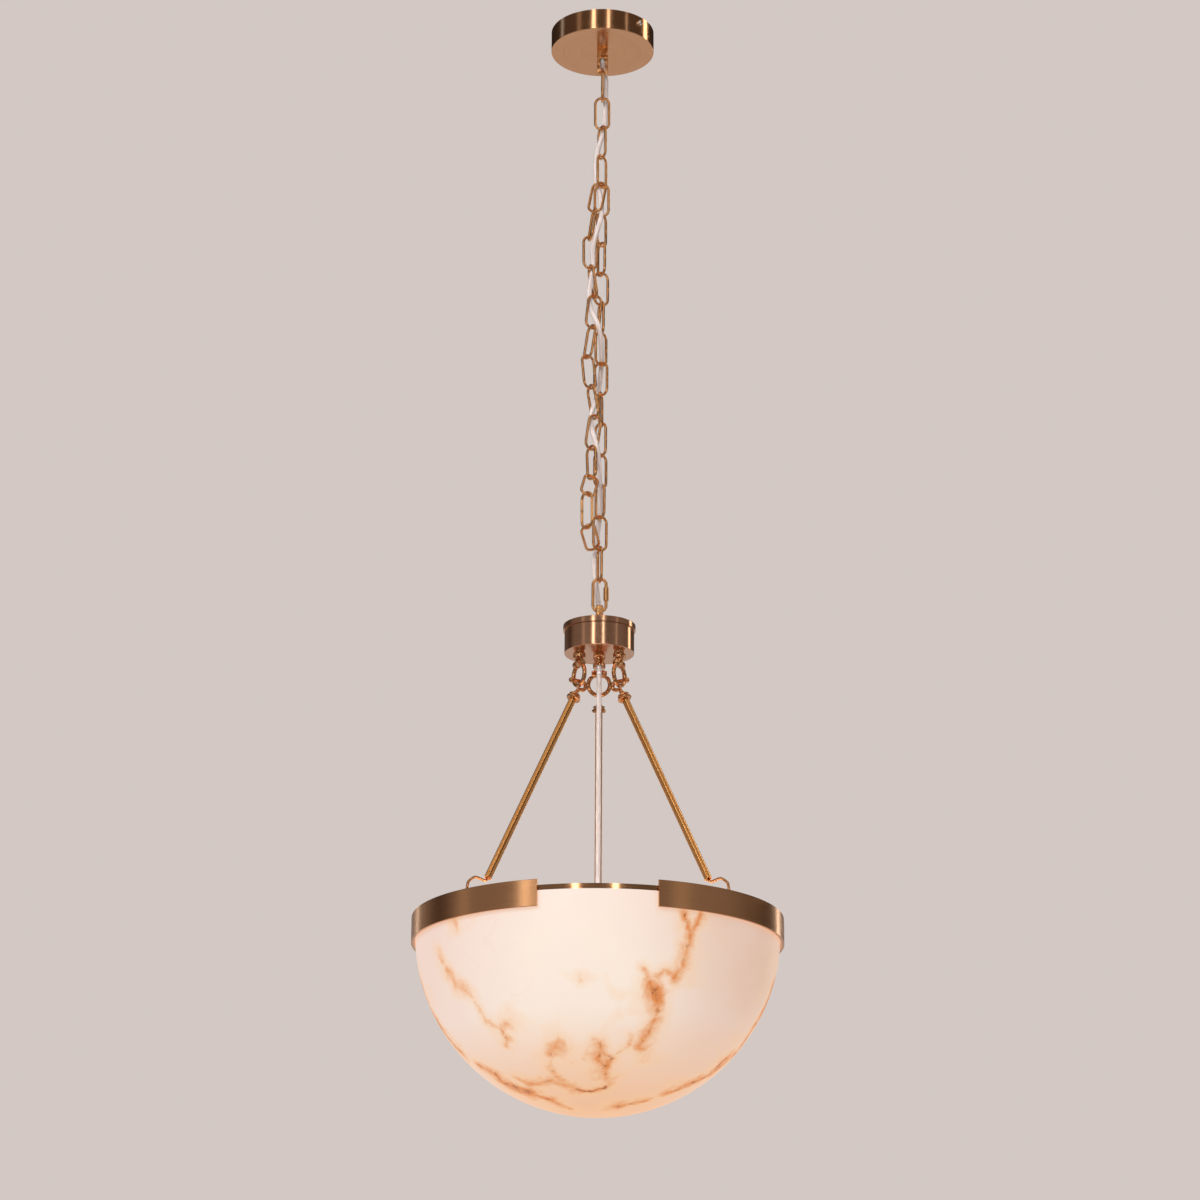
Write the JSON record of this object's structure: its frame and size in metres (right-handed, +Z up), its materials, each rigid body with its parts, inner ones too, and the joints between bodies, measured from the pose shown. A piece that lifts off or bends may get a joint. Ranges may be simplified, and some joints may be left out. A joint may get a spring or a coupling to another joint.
{
  "type": "bowl pendant lamp",
  "caption": "Alabaster bowl pendant: banded rim carried by rods from a small round hub, hung from a round ceiling canopy on a link chain with clear flex woven through it.",
  "frame": {"origin": "centre of the ceiling plane, on the ceiling plate's upper face above the canopy's middle", "axes": "+Z up towards the ceiling, +X to the right and -Y towards the viewer as seen in the picture"},
  "size_m": [0.4, 0.396, 1.276],
  "materials": {
    "satin_brass": "satin copper-toned brass with fine turned marks",
    "polished_brass": "polished copper-toned brass",
    "brushed_brass": "brushed along its length",
    "chain_brass": "bright plated wire",
    "zinc_steel": "zinc plated",
    "terminal_plastic": "moulded, semi-matte",
    "gland_plastic": "moulded",
    "lead_plastic": "insulated wire sleeve",
    "clear_flex": "clear sheath over silver-grey cores",
    "white_paint": "satin white paint",
    "holder_ceramic": "glazed white",
    "bulb_glass": "frosted, opal white",
    "alabaster": "polished translucent stone with brown veins"
  },
  "bodies": {
    "root": {"ceiling_plate": "zinc_steel", "canopy": "satin_brass", "canopy_screws": "polished_brass", "canopy_loop": "satin_brass", "loop_set_screw": "polished_brass", "loop_washer": "zinc_steel", "loop_nut": "zinc_steel", "terminal_block": "terminal_plastic", "terminal_screws": "zinc_steel"},
    "link_top": {"chain_link_top": "chain_brass"},
    "chain": {"chain_main": "chain_brass", "chain_slack": "chain_brass", "cable_upper": "clear_flex"},
    "quick_link": {"quick_link": "chain_brass"},
    "sleeve": {"quick_link_sleeve": "chain_brass"},
    "hub": {"hub_loop": "satin_brass", "hub_lid": "satin_brass", "hub_body": "satin_brass", "hub_washer": "zinc_steel", "hub_coupling": "zinc_steel", "cable_nipple": "polished_brass", "hub_nut": "zinc_steel", "shackle_studs": "polished_brass", "stud_nuts": "zinc_steel", "shackle_left": "polished_brass", "shackle_right": "polished_brass", "shackle_back": "polished_brass", "shackle_pins": "polished_brass", "cable_lower": "clear_flex"},
    "rod_left": {"top_hook_left": "polished_brass", "rod_left": "satin_brass", "bottom_hook_left": "polished_brass", "hook_nut_left": "polished_brass"},
    "rod_right": {"top_hook_right": "polished_brass", "rod_right": "satin_brass", "bottom_hook_right": "polished_brass", "hook_nut_right": "polished_brass"},
    "rod_back": {"top_hook_back": "polished_brass", "rod_back": "satin_brass", "bottom_hook_back": "polished_brass", "hook_nut_back": "polished_brass"},
    "bowl": {"rim_ring": "satin_brass", "rim_band_left": "brushed_brass", "rim_band_right": "brushed_brass", "rim_band_back": "brushed_brass", "rim_screws": "polished_brass", "lamp_frame": "white_paint", "bowl": "alabaster", "lampholder_1": "holder_ceramic", "lampholder_2": "holder_ceramic", "lampholder_3": "holder_ceramic", "holder_rings": "zinc_steel", "bulb_1": "bulb_glass", "bulb_2": "bulb_glass", "bulb_3": "bulb_glass", "cable_gland": "gland_plastic", "connector_block": "terminal_plastic", "lamp_leads": "lead_plastic"}
  },
  "joints": [
    {"name": "canopy_swing", "type": "hinge", "parent": "root", "child": "link_top", "pos_m": [0, 0, -0.05125], "axis": [1, 0, 0], "range_deg": [-30, 30], "deforming": ["cable_upper"]},
    {"name": "chain_swing", "type": "hinge", "parent": "link_top", "child": "chain", "pos_m": [0, 0, -0.08785], "axis": [0, 1, 0], "range_deg": [-30, 30], "deforming": ["cable_upper"]},
    {"name": "quick_link_swing", "type": "hinge", "parent": "chain", "child": "quick_link", "pos_m": [0, 0, -0.68145], "axis": [0.2588, -0.9659, 0], "range_deg": [-20, 20], "deforming": ["cable_upper"]},
    {"name": "sleeve_screw", "type": "slide", "parent": "quick_link", "child": "sleeve", "axis": [0, 0, 1], "range_m": [-0.0045, 0]},
    {"name": "hub_swing", "type": "hinge", "parent": "quick_link", "child": "hub", "pos_m": [0, 0, -0.71635], "axis": [1, 0, 0], "range_deg": [-20, 20], "deforming": ["cable_upper"]},
    {"name": "bowl_twist", "type": "hinge", "parent": "hub", "child": "bowl", "pos_m": [0, 0, -1.0715], "axis": [0, 0, 1], "range_deg": [-6, 6]},
    {"name": "rod_left_swing", "type": "hinge", "parent": "hub", "child": "rod_left", "pos_m": [-0.022, -0.0127, -0.79365], "axis": [-0.866, -0.5, 0], "range_deg": [-3.6, 3.6]},
    {"name": "rod_right_swing", "type": "hinge", "parent": "hub", "child": "rod_right", "pos_m": [0.022, -0.0127, -0.79365], "axis": [0.866, -0.5, 0], "range_deg": [-3.6, 3.6]},
    {"name": "rod_back_swing", "type": "hinge", "parent": "hub", "child": "rod_back", "pos_m": [0, 0.0254, -0.79365], "axis": [0, 1, 0], "range_deg": [-3.6, 3.6]}
  ],
  "couplings": [
    {"joint": "rod_left_swing", "follows": "bowl_twist", "ratio": 0.578},
    {"joint": "rod_right_swing", "follows": "bowl_twist", "ratio": 0.578},
    {"joint": "rod_back_swing", "follows": "bowl_twist", "ratio": 0.578}
  ]
}
